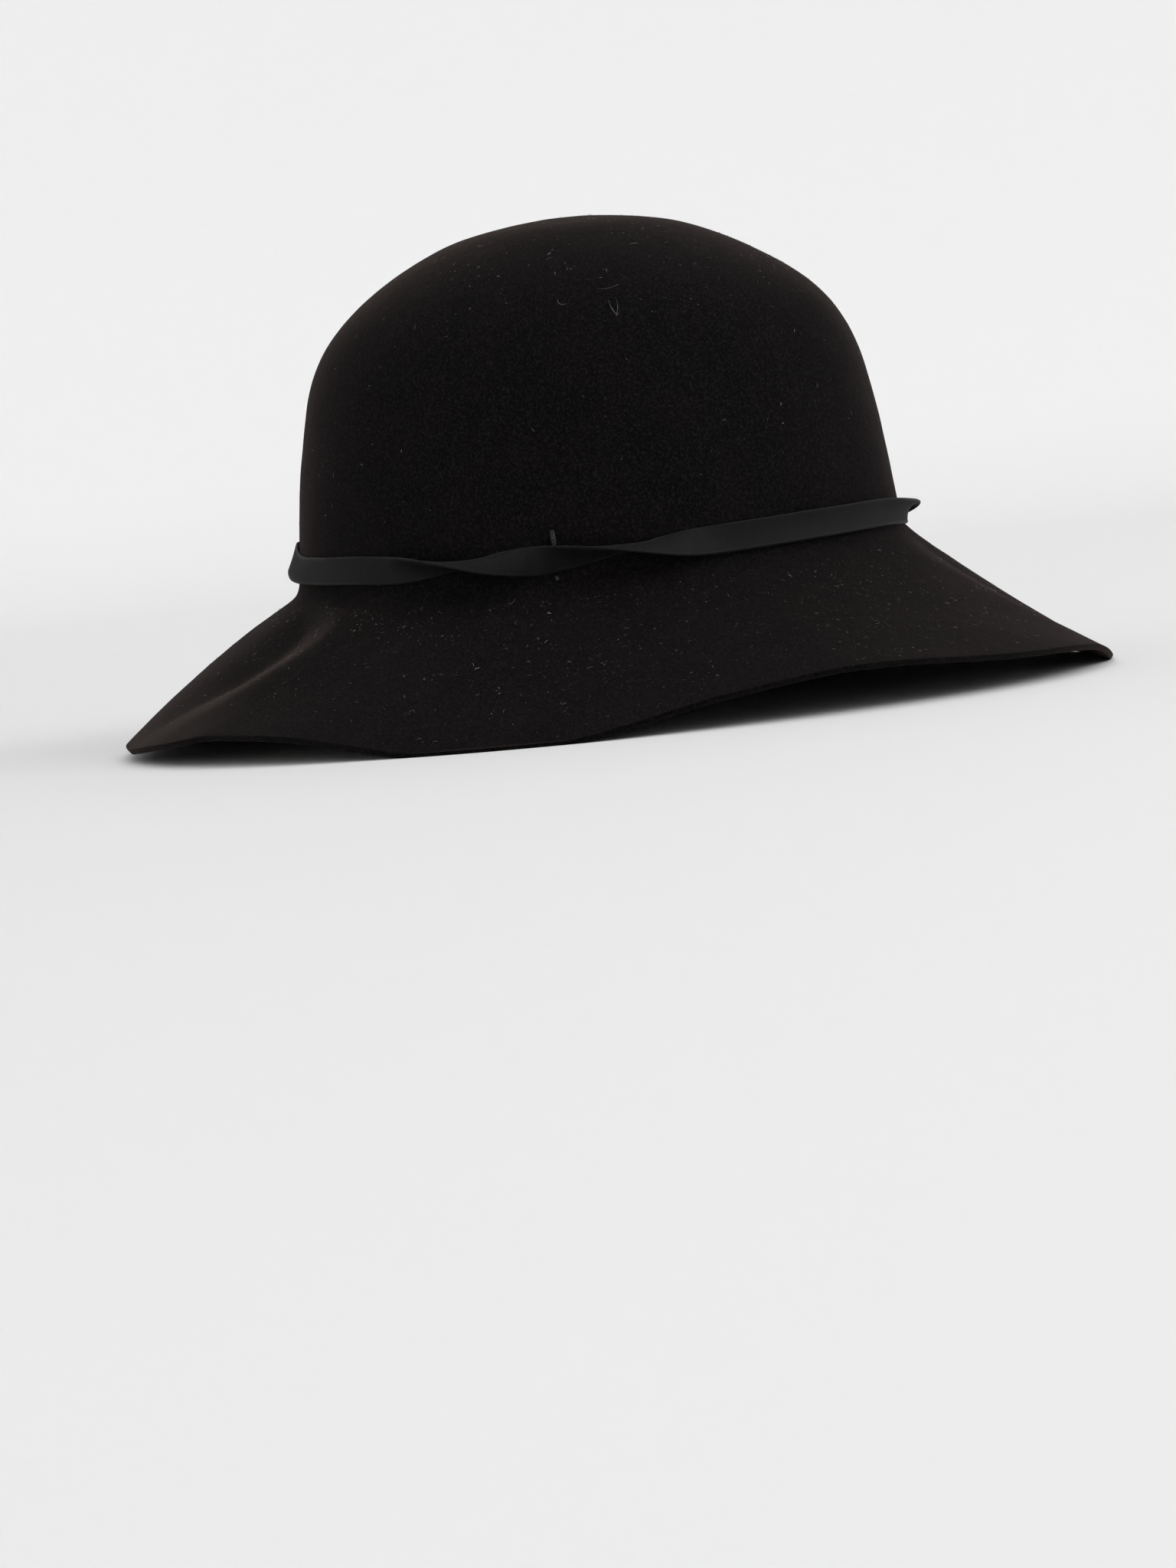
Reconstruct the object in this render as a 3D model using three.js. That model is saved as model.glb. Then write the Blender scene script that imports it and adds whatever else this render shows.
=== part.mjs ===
// A cloche hat of blocked wool felt, with a narrow grosgrain ribbon twisted round the foot of its crown.
// Millimetres, +Z up. The front of the hat looks along -Y, the wearer's right is -X, and Z = 0 is the surface
// that the brim rests on. An azimuth is in degrees: 0 at the front, 90 at the wearer's right, 180 at the back.

import * as THREE from 'three';

// Driving dimensions
const headLength = 198.4; // inside the foot of the crown, from front to back
const headWidth = 165.2; // inside the foot of the crown, from side to side
const feltThickness = 2;
const pressedThickness = 1.2; // of the edge where the hat rests on it
const crownRise = 115; // from the foot of the crown to its top
const footHeight = 47; // the foot of the crown above the surface that the brim rests on
const brimReach = 66; // level distance from the foot of the crown to the edge of the brim
const ribbonWidth = 9;
const ribbonThickness = 1;
const ribbonClearance = 0.3; // between the ribbon and the felt
const ribbonSeat = 0.5; // the ribbon's lower edge above the foot of the crown

// How finely the curved surfaces are cut into faces
const hatColumns = 80;
const crownRings = 13;
const brimRings = 12;
const towardsEdge = 1.5; // above 1 the brim's rings lie closer together towards its edge
const ribbonSteps = 150;
const ribbonSectionPoints = 4;

// The crown's outline from its foot to its top. along runs from 0 to 1 over the felt, rise is a share of
// crownRise, and front, back and side are shares of the half sizes at the foot.
const CROWN = [
  { along: 0.0, rise: 0.0, front: 1.0, back: 1.0, side: 1.0 },
  { along: 0.14, rise: 0.217, front: 0.975, back: 0.973, side: 0.98 },
  { along: 0.26, rise: 0.389, front: 0.947, back: 0.941, side: 0.956 },
  { along: 0.38, rise: 0.566, front: 0.901, back: 0.894, side: 0.911 },
  { along: 0.47, rise: 0.695, front: 0.823, back: 0.819, side: 0.842 },
  { along: 0.575, rise: 0.805, front: 0.692, back: 0.696, side: 0.722 },
  { along: 0.705, rise: 0.905, front: 0.499, back: 0.514, side: 0.533 },
  { along: 0.825, rise: 0.967, front: 0.306, back: 0.328, side: 0.333 },
  { along: 1.0, rise: 1.0, front: 0.0, back: 0.0, side: 0.0 },
];

// Soft dents in the crown. halfWidth is in degrees, along and halfHeight are places on the crown as above,
// and depth is a share of headWidth.
const DENTS = [
  { azimuth: 352, along: 0.6, halfWidth: 34, halfHeight: 0.1, depth: 0.007 },
  { azimuth: 172, along: 0.62, halfWidth: 36, halfHeight: 0.12, depth: 0.005 },
  { azimuth: 92, along: 0.3, halfWidth: 30, halfHeight: 0.16, depth: 0.004 },
  { azimuth: 262, along: 0.42, halfWidth: 34, halfHeight: 0.16, depth: 0.006 },
  { azimuth: 128, along: 0.52, halfWidth: 22, halfHeight: 0.1, depth: 0.004 },
];

// The fold line at the foot of the crown dips at the sides. rise is a share of footHeight.
const FOOT = [
  { azimuth: 0, rise: 1.11 },
  { azimuth: 30, rise: 1.06 },
  { azimuth: 60, rise: 1.015 },
  { azimuth: 90, rise: 0.99 },
  { azimuth: 120, rise: 0.99 },
  { azimuth: 145, rise: 1.03 },
  { azimuth: 168, rise: 1.11 },
  { azimuth: 190, rise: 1.11 },
  { azimuth: 225, rise: 1.06 },
  { azimuth: 270, rise: 1.0 },
  { azimuth: 320, rise: 1.05 },
];

// The brim's section at some azimuths. reach is a share of brimReach. edge, the height of the cut edge, and
// neck, how far the wall goes straight down, are shares of footHeight. kneeReach is a share of the reach, and
// kneeRise a share of the drop. Where edge is below nothing the felt is pressed flat on what it rests on.
const BRIM = [
  { azimuth: 10, reach: 0.976, edge: 0.12, neck: 0.1, kneeReach: 0.37, kneeRise: 0.49 },
  { azimuth: 30, reach: 0.963, edge: 0.185, neck: 0.11, kneeReach: 0.42, kneeRise: 0.47 },
  { azimuth: 50, reach: 0.947, edge: 0.25, neck: 0.11, kneeReach: 0.42, kneeRise: 0.47 },
  { azimuth: 66, reach: 0.93, edge: 0.16, neck: 0.11, kneeReach: 0.42, kneeRise: 0.47 },
  { azimuth: 84, reach: 0.93, edge: -0.02, neck: 0.11, kneeReach: 0.42, kneeRise: 0.47 },
  { azimuth: 100, reach: 0.94, edge: -0.03, neck: 0.12, kneeReach: 0.42, kneeRise: 0.47 },
  { azimuth: 118, reach: 0.95, edge: 0.125, neck: 0.13, kneeReach: 0.3, kneeRise: 0.55 },
  { azimuth: 132, reach: 0.965, edge: 0.16, neck: 0.15, kneeReach: 0.22, kneeRise: 0.71 },
  { azimuth: 142, reach: 0.985, edge: 0.1, neck: 0.17, kneeReach: 0.15, kneeRise: 0.82 },
  { azimuth: 153, reach: 0.98, edge: 0.065, neck: 0.2, kneeReach: 0.11, kneeRise: 0.9 },
  { azimuth: 168, reach: 0.955, edge: 0.05, neck: 0.26, kneeReach: 0.16, kneeRise: 0.93 },
  { azimuth: 195, reach: 0.99, edge: -0.04, neck: 0.18, kneeReach: 0.14, kneeRise: 1.0 },
  { azimuth: 230, reach: 0.96, edge: 0.05, neck: 0.14, kneeReach: 0.3, kneeRise: 0.7 },
  { azimuth: 265, reach: 0.95, edge: -0.04, neck: 0.11, kneeReach: 0.42, kneeRise: 0.5 },
  { azimuth: 300, reach: 0.95, edge: 0.05, neck: 0.11, kneeReach: 0.42, kneeRise: 0.5 },
  { azimuth: 330, reach: 0.962, edge: 0.03, neck: 0.1, kneeReach: 0.41, kneeRise: 0.57 },
  { azimuth: 352, reach: 0.976, edge: -0.04, neck: 0.06, kneeReach: 0.4, kneeRise: 0.56 },
];

// The rounding of the cut edge: depths through the felt, as shares of its thickness, and how far it bulges
const EDGE_DEPTHS = [1 / 6, 1 / 2, 5 / 6];
const edgeBulge = 0.2;

// Ridges and valleys that run out over the brim. Each crest starts at one azimuth by the crown, passes another
// half way out and ends at a third at the edge. halfWidth is in degrees, and lift is a share of brimReach.
const FOLDS = [
  { fromAzimuth: 165, midAzimuth: 133, toAzimuth: 144, halfWidth: 7, lift: 0.04 },
  { fromAzimuth: 177, midAzimuth: 146, toAzimuth: 157, halfWidth: 8, lift: -0.065 },
  { fromAzimuth: 11, midAzimuth: 10, toAzimuth: 7, halfWidth: 5, lift: 0.012 },
  { fromAzimuth: 2, midAzimuth: 1, toAzimuth: -1, halfWidth: 4, lift: -0.03 },
  { fromAzimuth: 238, midAzimuth: 235, toAzimuth: 228, halfWidth: 12, lift: 0.03 },
  { fromAzimuth: 300, midAzimuth: 302, toAzimuth: 308, halfWidth: 14, lift: 0.02 },
];
const foldStart = 0.1; // shares of the way out over the brim between which a fold grows to its full height
const foldFull = 0.5;
const foldEase = 0.75; // and from where it eases off again, to foldRest of its height at the edge
const foldRest = 0.2;
const foldSharpness = 1.5; // 2 is a round bell, and less makes a keener crest

// The ribbon makes a half turn at each of these azimuths, always the same way, over spread degrees
const TWISTS = [
  { azimuth: 73, spread: 50 },
  { azimuth: 108, spread: 50 },
  { azimuth: 195, spread: 44 },
  { azimuth: 242, spread: 44 },
  { azimuth: 290, spread: 44 },
  { azimuth: 340, spread: 46 },
];

// How the ribbon lies. lean tips its upper edge outwards, and cup bends both edges outwards, or inwards below
// nothing, in radians. lift is how far it stands off and rise how far it rides up, as shares of ribbonWidth.
const RIBBON = [
  { azimuth: 0, lean: 0.42, cup: 0.35, lift: 0.1, rise: -0.3 },
  { azimuth: 14, lean: 0.12, cup: 0.4, lift: 0.03, rise: -0.1 },
  { azimuth: 30, lean: 0, cup: 0.35, lift: 0.02, rise: 0 },
  { azimuth: 48, lean: 0, cup: 0.3, lift: 0, rise: 0.02 },
  { azimuth: 73, lean: 0, cup: 0.1, lift: 0, rise: 0.06 },
  { azimuth: 91, lean: 0.22, cup: -0.3, lift: 0, rise: 0.1 },
  { azimuth: 110, lean: 0, cup: 0.1, lift: 0, rise: 0.13 },
  { azimuth: 135, lean: 0, cup: 0.15, lift: 0, rise: 0.22 },
  { azimuth: 148, lean: -0.1, cup: 0.3, lift: 0.02, rise: 0.14 },
  { azimuth: 160, lean: -0.36, cup: 0.4, lift: 0, rise: 0.05 },
  { azimuth: 171, lean: -0.28, cup: 0.3, lift: 0, rise: 0.36 },
  { azimuth: 185, lean: -0.15, cup: 0.1, lift: 0, rise: 0.24 },
  { azimuth: 215, lean: 0, cup: 0.2, lift: 0, rise: 0.05 },
  { azimuth: 265, lean: 0, cup: 0.15, lift: 0.02, rise: 0.03 },
  { azimuth: 318, lean: 0, cup: 0.2, lift: 0, rise: 0 },
  { azimuth: 348, lean: 0.3, cup: 0.3, lift: 0.09, rise: -0.3 },
];
const twistArch = 0.8; // how far each edge bends down where the ribbon stands out in a twist, in radians

const fullTurn = 360;
const nudge = 0.002; // a small step over a surface, as a share of it, from which its slope is read
const nudgeDegrees = 0.5;

const feltMaterial = new THREE.MeshStandardMaterial({ color: 0x17161a, roughness: 0.95, metalness: 0 });
const ribbonMaterial = new THREE.MeshStandardMaterial({ color: 0x202022, roughness: 0.7, metalness: 0 });

// The value of one column of a table, smooth between its rows. A loop joins the last row to the first.
function valueAt(rows, key, column, place, loop = 0) {
  const before = loop ? rows.slice(-2).map((row) => ({ ...row, [key]: row[key] - loop })) : [];
  const after = loop ? rows.slice(0, 2).map((row) => ({ ...row, [key]: row[key] + loop })) : [];
  const all = [...before, ...rows, ...after];
  const at = loop ? ((place % loop) + loop) % loop : place;
  const slope = (i) => {
    const a = all[Math.max(i - 1, 0)];
    const b = all[Math.min(i + 1, all.length - 1)];
    return (b[column] - a[column]) / (b[key] - a[key]);
  };
  let i = 0;
  while (i < all.length - 2 && all[i + 1][key] <= at) i += 1;
  const step = all[i + 1][key] - all[i][key];
  const t = THREE.MathUtils.clamp((at - all[i][key]) / step, 0, 1);
  const first = all[i][column] * (2 * t ** 3 - 3 * t ** 2 + 1) + slope(i) * step * (t ** 3 - 2 * t ** 2 + t);
  const second = all[i + 1][column] * (3 * t ** 2 - 2 * t ** 3) + slope(i + 1) * step * (t ** 3 - t ** 2);
  return first + second;
}

// The crown's table goes on past the top, mirrored, so that the felt is level there
const crownOverTop = CROWN.slice(-2, -1).map((row) => ({
  along: 2 - row.along,
  rise: row.rise,
  front: -row.front,
  back: -row.back,
  side: -row.side,
}));
const crownRows = [...CROWN, ...crownOverTop];

// The shorter way round from one azimuth to another, in degrees
function degreesBetween(from, to) {
  return THREE.MathUtils.euclideanModulo(to - from + fullTurn / 2, fullTurn) - fullTurn / 2;
}

function place(azimuth, radius, height) {
  const angle = THREE.MathUtils.degToRad(azimuth);
  return new THREE.Vector3(-radius * Math.sin(angle), -radius * Math.cos(angle), height);
}

// The radius of an egg-shaped ring whose front, back and side half sizes are shares of those at the foot
function ovalRadius(azimuth, front, back, side) {
  const angle = THREE.MathUtils.degToRad(azimuth);
  const halfLength = headLength / 2 + feltThickness;
  const halfWidth = headWidth / 2 + feltThickness;
  const lengthwise = Math.cos(angle) / ((Math.cos(angle) > 0 ? front : back) * halfLength);
  const sideways = Math.sin(angle) / (side * halfWidth);
  return 1 / Math.hypot(lengthwise, sideways);
}

function footRise(azimuth) {
  return footHeight * valueAt(FOOT, 'azimuth', 'rise', azimuth, fullTurn);
}

// How deep the dents are at one place of the crown
function dentDepth(azimuth, along) {
  return DENTS.reduce((depth, dent) => {
    const across = degreesBetween(dent.azimuth, azimuth) / dent.halfWidth;
    const up = (along - dent.along) / dent.halfHeight;
    return depth + dent.depth * headWidth * Math.exp(-(across ** 2) - up ** 2);
  }, 0);
}

// A point on the outside of the crown: along is 0 at the foot and 1 at the top
function crownPoint(azimuth, along) {
  const read = (column) => valueAt(crownRows, 'along', column, along);
  const top = footHeight + crownRise;
  const foot = footRise(azimuth);
  const height = foot + (top - foot) * read('rise');
  if (along >= 1) return place(azimuth, 0, top);
  const radius = ovalRadius(azimuth, read('front'), read('back'), read('side'));
  return place(azimuth, radius * (1 - dentDepth(azimuth, along) / ovalRadius(azimuth, 1, 1, 1)), height);
}

// Where the crest of a fold runs, on a parabola through its three azimuths
function crestAzimuth(fold, out) {
  const outer = out * (2 * out - 1) * fold.toAzimuth;
  return (1 - out) * (1 - 2 * out) * fold.fromAzimuth + 4 * out * (1 - out) * fold.midAzimuth + outer;
}

// How far the folds lift the brim at one place
function foldLift(azimuth, out) {
  const grown = THREE.MathUtils.smoothstep(out, foldStart, foldFull);
  const eased = 1 - (1 - foldRest) * THREE.MathUtils.smoothstep(out, foldEase, 1);
  return FOLDS.reduce((lift, fold) => {
    const across = Math.abs(degreesBetween(crestAzimuth(fold, out), azimuth)) / fold.halfWidth;
    return lift + fold.lift * brimReach * grown * eased * Math.exp(-(across ** foldSharpness));
  }, 0);
}

// A point on the upper side of the brim: out is 0 at the foot of the crown and 1 at the edge
function brimPoint(azimuth, out) {
  const read = (column) => valueAt(BRIM, 'azimuth', column, azimuth, fullTurn);
  const start = ovalRadius(azimuth, 1, 1, 1);
  const foot = footRise(azimuth);
  const reach = brimReach * read('reach');
  const edge = footHeight * read('edge') + feltThickness;
  const neck = footHeight * read('neck');
  const wallLean = (halfSizeLost(CROWN[1]) / (crownRise * CROWN[1].rise)) * neck;
  const section = new THREE.CubicBezierCurve(
    new THREE.Vector2(start, foot),
    new THREE.Vector2(start + wallLean, foot - neck),
    new THREE.Vector2(start + read('kneeReach') * reach, edge + read('kneeRise') * (foot - edge)),
    new THREE.Vector2(start + reach, edge),
  ).getPoint(out);
  return place(azimuth, section.x, section.y + foldLift(azimuth, out));
}

// How much shorter the crown's half length is at a row of its table than at the foot
function halfSizeLost(row) {
  return (1 - row.front) * (headLength / 2 + feltThickness);
}

// A point on the outside of the hat: 0 is the edge of the brim, 1 the foot of the crown and 2 its top
function hatPoint(azimuth, up) {
  return up < 1 ? brimPoint(azimuth, 1 - up) : crownPoint(azimuth, up - 1);
}

// The direction that the felt faces there
function hatNormal(azimuth, up) {
  if (up >= 2) return new THREE.Vector3(0, 0, 1);
  const higher = hatPoint(azimuth, Math.min(up + nudge, 2 - nudge));
  const lower = hatPoint(azimuth, Math.max(up - nudge, 0));
  const rightward = hatPoint(azimuth + nudgeDegrees, Math.min(up, 2 - nudge));
  const leftward = hatPoint(azimuth - nudgeDegrees, Math.min(up, 2 - nudge));
  const upward = higher.sub(lower);
  const round = rightward.sub(leftward);
  return upward.cross(round).normalize();
}

// Felt that would reach below the surface that the hat rests on is pressed flat there. depth is 0 on the
// outer skin, which stays pressedThickness above that surface, and 1 on the inner one.
function pressedFlat(point, depth) {
  point.z = Math.max(point.z, pressedThickness * (1 - 2 * depth), 0);
  return point;
}

// A closed body from rings of points, each ring joined to the next. A lone point closes each end.
function bodyFromRings(rings) {
  const points = rings.flat();
  const faces = [];
  let count = 0;
  const numbered = rings.map((ring) => ring.map(() => count++));
  for (let r = 0; r + 1 < numbered.length; r += 1) {
    const [above, below] = [numbered[r], numbered[r + 1]];
    const columns = Math.max(above.length, below.length);
    for (let c = 0; c < columns; c += 1) {
      const next = (c + 1) % columns;
      if (below.length > 1) faces.push(above[c % above.length], below[next], below[c]);
      if (above.length > 1) faces.push(above[c], above[next], below[next % below.length]);
    }
  }
  return bodyFromFaces(points, faces);
}

function bodyFromFaces(points, faces) {
  const geometry = new THREE.BufferGeometry().setFromPoints(points);
  geometry.setIndex(faces);
  geometry.computeVertexNormals();
  return geometry;
}

// Crown and brim are one blocked piece of felt: an outer skin, a cut edge and an inner skin
function feltBody() {
  const ups = [];
  for (let r = 1; r <= crownRings; r += 1) ups.push(2 - r / crownRings);
  for (let r = 1; r <= brimRings; r += 1) ups.push((1 - r / brimRings) ** towardsEdge);
  const azimuths = Array.from({ length: hatColumns }, (_, c) => (c * fullTurn) / hatColumns);
  const ringAt = (up, depth) => azimuths.map((azimuth) => {
    const inward = hatNormal(azimuth, up).multiplyScalar(-depth * feltThickness);
    const bulge = up > 0 ? 0 : edgeBulge * feltThickness * Math.sin(depth * Math.PI);
    return pressedFlat(hatPoint(azimuth, up).add(inward).add(place(azimuth, bulge, 0)), depth);
  });
  const outer = ups.map((up) => ringAt(up, 0));
  const cutEdge = EDGE_DEPTHS.map((depth) => ringAt(0, depth));
  const inner = ups.map((up) => ringAt(up, 1)).reverse();
  const top = hatPoint(0, 2);
  const innerTop = top.clone().setZ(top.z - feltThickness);
  return new THREE.Mesh(bodyFromRings([[top], ...outer, ...cutEdge, ...inner, [innerTop]]), feltMaterial);
}

// How many half turns the ribbon has made at an azimuth, counted from the front over the wearer's left
function halfTurns(azimuth) {
  return TWISTS.reduce((turns, twist) => {
    const ahead = [-fullTurn, 0, fullTurn].reduce((sum, lap) => {
      const past = twist.azimuth + lap - azimuth;
      return sum + THREE.MathUtils.smoothstep(past, -twist.spread / 2, twist.spread / 2);
    }, 0);
    return turns + ahead;
  }, 0);
}

// Where the ribbon lies on the wall of the crown. The first stretch of the crown's table is nearly straight.
const ribbonAlong = (CROWN[1].along * (ribbonSeat + ribbonWidth / 2)) / (CROWN[1].rise * crownRise);

// The ribbon's section at an azimuth, as a closed ring of points: one face, then the other
function ribbonSection(azimuth) {
  const read = (column) => valueAt(RIBBON, 'azimuth', column, azimuth, fullTurn);
  const up = 1 + ribbonAlong;
  const normal = hatNormal(azimuth, up);
  const wall = hatPoint(azimuth, up);
  const upward = hatPoint(azimuth, up + nudge).sub(hatPoint(azimuth, up - nudge)).normalize();
  const turn = Math.PI * halfTurns(azimuth) + read('lean');
  const bend = read('cup') * Math.cos(turn) + twistArch * Math.sin(turn);
  const pieces = ribbonSectionPoints - 1;
  const middle = [{ u: 0, n: 0 }];
  const tilt = (share) => turn + bend * (2 * share - 1);
  for (let p = 0; p < pieces; p += 1) {
    const angle = tilt((p + 0.5) / pieces);
    const last = middle.at(-1);
    middle.push({
      u: last.u + (Math.cos(angle) * ribbonWidth) / pieces,
      n: last.n + (Math.sin(angle) * ribbonWidth) / pieces,
    });
  }
  const face = (side) => middle.map((point, p) => {
    const angle = tilt(p / pieces);
    const offset = (side * ribbonThickness) / 2;
    return { u: point.u - Math.sin(angle) * offset, n: point.n + Math.cos(angle) * offset };
  });
  const ring = [...face(1), ...face(-1).reverse()];
  const middleU = (middle[0].u + middle.at(-1).u) / 2;
  const innermost = Math.min(...ring.map((point) => point.n));
  const stand = ribbonClearance + read('lift') * ribbonWidth - innermost;
  const rise = read('rise') * ribbonWidth - middleU;
  return ring.map((point) => wall.clone()
    .addScaledVector(upward, point.u + rise)
    .addScaledVector(normal, point.n + stand));
}

// The sections run round the crown and close on themselves
function ribbonBand() {
  const points = [];
  for (let s = 0; s < ribbonSteps; s += 1) points.push(...ribbonSection((s * fullTurn) / ribbonSteps));
  const sides = 2 * ribbonSectionPoints;
  const faces = [];
  for (let s = 0; s < ribbonSteps; s += 1) {
    const here = s * sides;
    const there = ((s + 1) % ribbonSteps) * sides;
    for (let p = 0; p < sides; p += 1) {
      const next = (p + 1) % sides;
      faces.push(here + p, here + next, there + next);
      faces.push(here + p, there + next, there + p);
    }
  }
  return new THREE.Mesh(bodyFromFaces(points, faces), ribbonMaterial);
}

const hat = new THREE.Group();
const felt = feltBody();
felt.name = 'felt_body';
const ribbon = ribbonBand();
ribbon.name = 'ribbon_band';
hat.add(felt, ribbon);

// The origin is on the surface that the brim rests on, under the middle of the hat
const box = new THREE.Box3().setFromObject(hat);
const middle = box.getCenter(new THREE.Vector3());
hat.position.set(-middle.x, -middle.y, -box.min.z);

export default hat;
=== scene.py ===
"""The looks of a soft black felt cloche hat that rests on its brim.

Metres, +Z up. The front of the hat looks along -Y, the wearer's right is -X, and Z = 0 is the surface that
the brim rests on. An azimuth is in degrees: 0 at the front, 90 at the wearer's right, 180 at the back. up
runs over the felt: 0 at the edge of the brim, 1 at the foot of the crown, 2 at the top. Colours are in
linear light.
"""

import math
from collections import namedtuple

import bpy
import numpy as np
from mathutils import Matrix, Vector, noise


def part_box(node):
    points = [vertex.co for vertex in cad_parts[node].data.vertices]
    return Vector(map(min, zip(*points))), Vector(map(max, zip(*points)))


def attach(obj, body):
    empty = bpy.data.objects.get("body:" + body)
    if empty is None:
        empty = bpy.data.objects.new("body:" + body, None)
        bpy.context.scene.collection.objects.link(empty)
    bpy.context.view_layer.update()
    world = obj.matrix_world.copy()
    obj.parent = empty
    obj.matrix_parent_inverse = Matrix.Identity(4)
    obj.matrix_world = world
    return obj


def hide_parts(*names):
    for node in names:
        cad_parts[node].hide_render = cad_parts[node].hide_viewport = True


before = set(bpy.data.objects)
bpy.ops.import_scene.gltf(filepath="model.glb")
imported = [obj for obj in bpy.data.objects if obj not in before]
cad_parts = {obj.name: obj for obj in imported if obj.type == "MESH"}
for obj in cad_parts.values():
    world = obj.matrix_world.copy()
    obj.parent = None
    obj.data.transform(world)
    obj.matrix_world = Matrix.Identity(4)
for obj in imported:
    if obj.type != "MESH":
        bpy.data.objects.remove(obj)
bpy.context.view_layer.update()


def table(columns, *rows):
    """Rows with named columns."""
    row_type = namedtuple("Row", columns)
    return [row_type(*row) for row in rows]


# Driving dimensions
HEAD_LENGTH = 0.1984  # inside the foot of the crown, from front to back
HEAD_WIDTH = 0.1652  # inside the foot of the crown, from side to side
FELT = 0.002  # thickness
PRESSED = 0.0012  # thickness of the edge where the hat rests on it
CROWN_RISE = 0.115  # from the foot of the crown to its top
FOOT_HEIGHT = 0.047  # the foot of the crown above the surface that the brim rests on
BRIM_REACH = 0.066  # level distance from the foot of the crown to the edge of the brim
RIBBON_WIDTH = 0.009
RIBBON = 0.0006  # thickness between its ribs
RIBBON_CLEARANCE = 0.0003  # between the ribbon and the felt
RIBBON_SEAT = 0.0005  # the ribbon's lower edge above the foot of the crown
RIB = 0.00011  # height of a rib on each side
RIB_PITCH = 0.00068

# The crown's outline from its foot to its top: how far up the felt, the rise as a share of CROWN_RISE, and
# the front, back and side half sizes as shares of those at the foot
CROWN = table(
    "along rise front back side",
    (0, 0, 1, 1, 1),
    (0.14, 0.217, 0.975, 0.973, 0.98),
    (0.26, 0.389, 0.947, 0.941, 0.956),
    (0.38, 0.566, 0.901, 0.894, 0.911),
    (0.47, 0.695, 0.823, 0.819, 0.842),
    (0.575, 0.805, 0.692, 0.696, 0.722),
    (0.705, 0.905, 0.499, 0.514, 0.533),
    (0.825, 0.967, 0.306, 0.328, 0.333),
    (1, 1, 0, 0, 0),
)

# Soft dents: half widths in degrees, heights as along above, depths as shares of HEAD_WIDTH
DENTS = table(
    "azimuth along half_width half_height depth",
    (352, 0.6, 34, 0.1, 0.007),
    (172, 0.62, 36, 0.12, 0.005),
    (92, 0.3, 30, 0.16, 0.004),
    (262, 0.42, 34, 0.16, 0.006),
    (128, 0.52, 22, 0.1, 0.004),
)

# The fold line at the foot of the crown, as a share of FOOT_HEIGHT
FOOT = table(
    "azimuth rise",
    (0, 1.11), (30, 1.06), (60, 1.015), (90, 0.99), (120, 0.99), (145, 1.03),
    (168, 1.11), (190, 1.11), (225, 1.06), (270, 1.0), (320, 1.05),
)

# The brim's section at some azimuths: its reach as a share of BRIM_REACH, the height of its edge and of the
# straight neck as shares of FOOT_HEIGHT, and its knee as shares of the reach and of the drop
BRIM = table(
    "azimuth reach edge neck knee_reach knee_rise",
    (10, 0.976, 0.12, 0.1, 0.37, 0.49),
    (30, 0.963, 0.185, 0.11, 0.42, 0.47),
    (50, 0.947, 0.25, 0.11, 0.42, 0.47),
    (66, 0.93, 0.16, 0.11, 0.42, 0.47),
    (84, 0.93, -0.02, 0.11, 0.42, 0.47),
    (100, 0.94, -0.03, 0.12, 0.42, 0.47),
    (118, 0.95, 0.125, 0.13, 0.3, 0.55),
    (132, 0.965, 0.16, 0.15, 0.22, 0.71),
    (142, 0.985, 0.1, 0.17, 0.15, 0.82),
    (153, 0.98, 0.065, 0.2, 0.11, 0.9),
    (168, 0.955, 0.05, 0.26, 0.16, 0.93),
    (195, 0.99, -0.04, 0.18, 0.14, 1),
    (230, 0.96, 0.05, 0.14, 0.3, 0.7),
    (265, 0.95, -0.04, 0.11, 0.42, 0.5),
    (300, 0.95, 0.05, 0.11, 0.42, 0.5),
    (330, 0.962, 0.03, 0.1, 0.41, 0.57),
    (352, 0.976, -0.04, 0.06, 0.4, 0.56),
)

# Ridges and valleys that run out over the brim. Each crest starts at one azimuth by the crown, passes
# another half way out and ends at a third at the edge. half_width is in degrees, and lift is its height as
# a share of BRIM_REACH, below nothing in a valley.
FOLDS = table(
    "from_azimuth mid_azimuth to_azimuth half_width lift",
    (165, 133, 144, 7, 0.04),
    (177, 146, 157, 8, -0.065),
    (11, 10, 7, 5, 0.012),
    (2, 1, -1, 4, -0.03),
    (238, 235, 228, 12, 0.03),
    (300, 302, 308, 14, 0.02),
)
FOLD_START = 0.1  # shares of the way out over the brim between which a fold grows to its full height
FOLD_FULL = 0.5
FOLD_EASE = 0.75  # and from where it eases off again, to FOLD_REST of its height at the edge
FOLD_REST = 0.2
FOLD_SHARPNESS = 1.5  # 2 is a round bell, and less makes a keener crest

# The ribbon makes a half turn at each of these azimuths, always the same way, over a spread in degrees
TWISTS = table("azimuth spread", (73, 50), (108, 50), (195, 44), (242, 44), (290, 44), (340, 46))
TWIST_ARCH = 0.8  # how far each edge bends down where the ribbon stands out in a twist, in radians

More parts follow.
